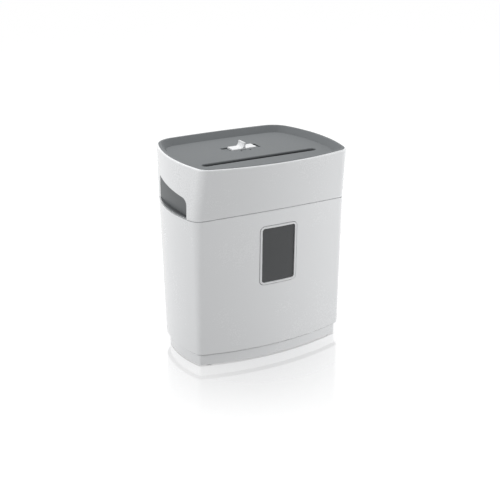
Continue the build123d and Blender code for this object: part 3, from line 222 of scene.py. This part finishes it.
def make_smoked_pane():
    """Transmitting plastic, grey all through, with a slightly uneven gloss."""
    material = bpy.data.materials.new("smoked pane")
    tree, shader = principled(material)
    grain = tree.nodes.new("ShaderNodeGroup")
    grain.node_tree = GRAIN
    grain.inputs["Gloss"].default_value = PANE_GLOSS
    smoke = mix_colour(tree, grain.outputs["Cloud"], rgba(SMOKE_DARK), rgba(SMOKE_PALE))
    tree.links.new(smoke, shader.inputs["Base Color"])
    tree.links.new(grain.outputs["Rough"], shader.inputs["Roughness"])
    shader.inputs["Transmission Weight"].default_value = PANE_CLEARNESS
    shader.inputs["IOR"].default_value = PANE_IOR
    return material


SMOKED = make_smoked_pane()
print("pane", SMOKED.name)

# %% [markdown]
# ## Dressing the solids
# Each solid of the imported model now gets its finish. A solid has one material slot, so assigning means
# clearing the slot list and appending the new material.

# %% Finishes by piece
FINISH = {
    WHITE_SHELL: ("bin_shell", "head_housing", "base_cover"),
    WHITE_KNOB: ("mode_knob",),
    TRAY_GREY: ("top_cover",),
    GRIP_GREY: ("grip_left", "grip_right"),
    FRAME_WHITE: ("window_bezel",),
    SMOKED: ("window_pane",),
    DARK_COVER: (
        "paper_throat", "paper_lever", "paper_sensor", "mode_switch", "stripper_front",
        "stripper_rear", "gear_cover", "lock_switch", "lock_plunger", "terminal_block", "relay",
    ),
    NYLON: ("first_gear", "second_gear"),
    RUBBER: ("rubber_feet", "cord_gland"),
    BOARD_GREEN: ("control_board",),
    SLEEVE_BLUE: ("capacitor",),
    STEEL: (
        "frame_plate_left", "frame_plate_right", "tie_rods", "tie_rod_nuts", "gear_axles", "lever_pin",
        "motor_can", "motor_end_plate", "motor_screws", "case_screws", "frame_screws", "board_screws",
        "gear_cover_screws", "armature", "front_sync_gear", "rear_sync_gear", "drive_gear",
    ),
    CUTTER_STEEL: ("front_cutter", "rear_cutter"),
    BRASS: ("shaft_bushes", "motor_pinion"),
    FERRITE: ("motor_magnets",),
}
for material, names in FINISH.items():
    for name in names:
        NODES[name].data.materials.clear()
        NODES[name].data.materials.append(material)
bare = sorted(set(NODES) - {name for names in FINISH.values() for name in names})
print("dressed", len(NODES) - len(bare), "bare", bare)

# %% [markdown]
# ## Position marks
# Two small dark marks on the tray show where the slide button stops. They are too thin to be solids, so
# each is a flat oval laid just above the tray's floor. A polygon with many corners makes the oval: its
# corners are the cosine and the sine of evenly spaced turns, stretched to the two half widths.


# %% Ovals on the tray
MARK_SPOTS = [(-0.0087, 0.0112), (0.0094, 0.0112)]
MARK_HALF_WIDTHS, MARK_HEIGHT = (0.0015, 0.0022), 0.35056


def oval_marks(name, centres, half_widths, height, corners=24):
    """Flat ovals: centre + half width x (cosine, sine) of each turn, all at one height, in metres."""
    turns = np.arange(corners) * (2 * np.pi / corners)
    rim = np.stack((np.cos(turns), np.sin(turns)), axis=1) * half_widths
    flat = (np.asarray(centres)[:, None, :] + rim[None, :, :]).reshape(-1, 2)
    points = np.column_stack((flat, np.full(len(flat), height)))
    faces = np.arange(len(points)).reshape(-1, corners)
    mesh = bpy.data.meshes.new(name)
    mesh.from_pydata(points.tolist(), [], faces.tolist())
    marks = bpy.data.objects.new(name, mesh)
    bpy.context.scene.collection.objects.link(marks)
    return marks


tray_marks = oval_marks("tray_marks", MARK_SPOTS, MARK_HALF_WIDTHS, MARK_HEIGHT)
tray_marks.data.materials.append(MARK_INK)
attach(tray_marks, "head")
print("marks", len(tray_marks.data.polygons))

# %% [markdown]
# ## Floor and background
# The machine stands on a white sheet with a mirror image under it that fades outward. The camera should
# see plain white wherever there is no object, so the sheet glows only for rays that the camera sends,
# directly or by way of a mirror or glass. Rays that light a matt surface don't see the glow, so it adds
# no light to the object there. The mirror itself is there for camera rays alone.


# %% White sheet
SHEET_TONE, SHEET_GLOW, SHEET_ROUGH = (0.16, 0.16, 0.16), 0.90, 0.9
MIRROR_TINT, MIRROR_ROUGH = (0.96, 0.96, 0.97), 0.05
MIRROR_NEAR, MIRROR_FAR, MIRROR_SHARE = 0.09, 0.36, 0.54
WHITE = (1.0, 1.0, 1.0, 1.0)


def seen_share(tree):
    """One for rays from the camera, a mirror or glass that have met no matt surface yet, else zero."""
    ray = tree.nodes.new("ShaderNodeLightPath").outputs
    seen = math_node(tree, "MAXIMUM", ray["Is Camera Ray"], ray["Is Glossy Ray"])
    seen = math_node(tree, "MAXIMUM", seen, ray["Is Transmission Ray"])
    return math_node(tree, "MULTIPLY", seen, math_node(tree, "LESS_THAN", ray["Diffuse Depth"], 0.5))


def make_sheet_material():
    """White floor: a matt base for the shadow, a glow for the camera and a mirror that fades outward."""
    material = bpy.data.materials.new("white sheet")
    tree, shader = principled(material)
    shader.inputs["Base Color"].default_value = rgba(SHEET_TONE)
    shader.inputs["Roughness"].default_value = SHEET_ROUGH
    shader.inputs["Specular IOR Level"].default_value = 0.0
    shader.inputs["Emission Color"].default_value = WHITE
    glow = math_node(tree, "MULTIPLY", seen_share(tree), SHEET_GLOW)
    tree.links.new(glow, shader.inputs["Emission Strength"])
    mirror = add(tree, "ShaderNodeBsdfGlossy", Roughness=MIRROR_ROUGH, Color=rgba(MIRROR_TINT))
    place = tree.nodes.new("ShaderNodeTexCoord").outputs["Object"]
    away = add(tree, "ShaderNodeVectorMath", _0=place)
    away.operation = "LENGTH"
    polish = add(
        tree, "ShaderNodeMapRange", Value=away.outputs["Value"],
        From_Min=MIRROR_NEAR, From_Max=MIRROR_FAR, To_Min=MIRROR_SHARE, To_Max=0.0,
    )
    camera_ray = tree.nodes.new("ShaderNodeLightPath").outputs["Is Camera Ray"]
    share = math_node(tree, "MULTIPLY", polish.outputs["Result"], camera_ray)
    mixed = add(tree, "ShaderNodeMixShader", _0=share, _1=shader.outputs["BSDF"], _2=mirror.outputs["BSDF"])
    tree.links.new(mixed.outputs["Shader"], tree.nodes["Material Output"].inputs["Surface"])
    return material


def make_sheet(half=6.0):
    """A square floor at height zero, as one face."""
    corners = np.array([(-1, -1, 0), (1, -1, 0), (1, 1, 0), (-1, 1, 0)], float) * half
    mesh = bpy.data.meshes.new("sheet")
    mesh.from_pydata(corners.tolist(), [], [(0, 1, 2, 3)])
    sheet = bpy.data.objects.new("sheet", mesh)
    bpy.context.scene.collection.objects.link(sheet)
    mesh.materials.append(make_sheet_material())
    return sheet


make_sheet()
print("floor ready")

# %% [markdown]
# ## Light
# The photograph was taken under soft, broad lights: the left side is bright, the front is darker at its
# left end and gets brighter to the right, and the tray is evenly lit. A wide lamp stands on the left,
# another to the right of the front, a weaker one before the front, and a fourth hangs overhead. The
# world fills the rest.


# %% World and lamps
WORLD_FILL = 0.61
LAMPS = (
    ("left lamp", (-2.2, 0.5, 0.45), (0, 0, 0.25), (1.4, 0.8), 22.0),
    ("right front lamp", (2.1, -0.9, 0.35), (0, 0, 0.25), (1.2, 0.6), 22.0),
    ("front lamp", (0.4, -2.3, 0.35), (0, 0, 0.25), (1.6, 0.6), 11.0),
    ("top lamp", (0.1, 0.9, 1.9), (0, 0, 0.3), (1.6, 1.6), 24.0),
)


def make_world(fill):
    """White for the camera and for mirror and glass rays, a plain grey fill for all other rays."""
    world = bpy.data.worlds.new("studio")
    bpy.context.scene.world = world
    world.use_nodes = True
    tree = world.node_tree
    background = tree.nodes["Background"]
    background.inputs["Color"].default_value = WHITE
    strength = add(tree, "ShaderNodeMix", _0=seen_share(tree), _2=fill, _3=1.0)
    tree.links.new(strength.outputs[0], background.inputs["Strength"])


def soft_lamp(name, place, aim, size, power):
    """A rectangular lamp at a place, turned to face the aim point."""
    data = bpy.data.lights.new(name, "AREA")
    data.shape = "RECTANGLE"
    data.size, data.size_y = size
    data.energy = power
    lamp = bpy.data.objects.new(name, data)
    bpy.context.scene.collection.objects.link(lamp)
    turn = (Vector(aim) - Vector(place)).to_track_quat("-Z", "Y").to_matrix().to_4x4()
    lamp.matrix_world = Matrix.Translation(Vector(place)) @ turn
    return lamp


make_world(WORLD_FILL)
for lamp in LAMPS:
    soft_lamp(*lamp)
print("lamps", len(bpy.data.lights))

# %% [markdown]
# ## Camera
# The camera's place was worked out from the photograph's own lines: rim, seam, plinth and slot. Its
# direction is a turn about the upright axis and a height above the horizon, and it looks at a point
# near the middle of the machine, shifted a little so that the framing is the same.

# %% Camera at the photograph's angle
TURN, RISE = math.radians(-29.25), math.radians(20.78)
DISTANCE, LENS, SENSOR = 1.8253, 72.65, 36.0
SIDE_SHIFT, UP_SHIFT, MIDDLE = 0.0021, -0.0136, 0.18077
back = Vector((math.sin(TURN) * math.cos(RISE), -math.cos(TURN) * math.cos(RISE), math.sin(RISE)))
right = Vector((math.cos(TURN), math.sin(TURN), 0.0))
up = back.cross(right)
target = Vector((0.0, 0.0, MIDDLE)) + right * SIDE_SHIFT + up * UP_SHIFT
camera_data = bpy.data.cameras.new("camera")
camera_data.lens, camera_data.sensor_width, camera_data.sensor_fit = LENS, SENSOR, "HORIZONTAL"
camera = bpy.data.objects.new("camera", camera_data)
bpy.context.scene.collection.objects.link(camera)
turned = Matrix((right, up, back)).transposed().to_4x4()
camera.matrix_world = Matrix.Translation(target + back * DISTANCE) @ turned
bpy.context.scene.camera = camera
bpy.context.scene.view_settings.view_transform = "Standard"
print("camera at", [round(v, 3) for v in camera.location])
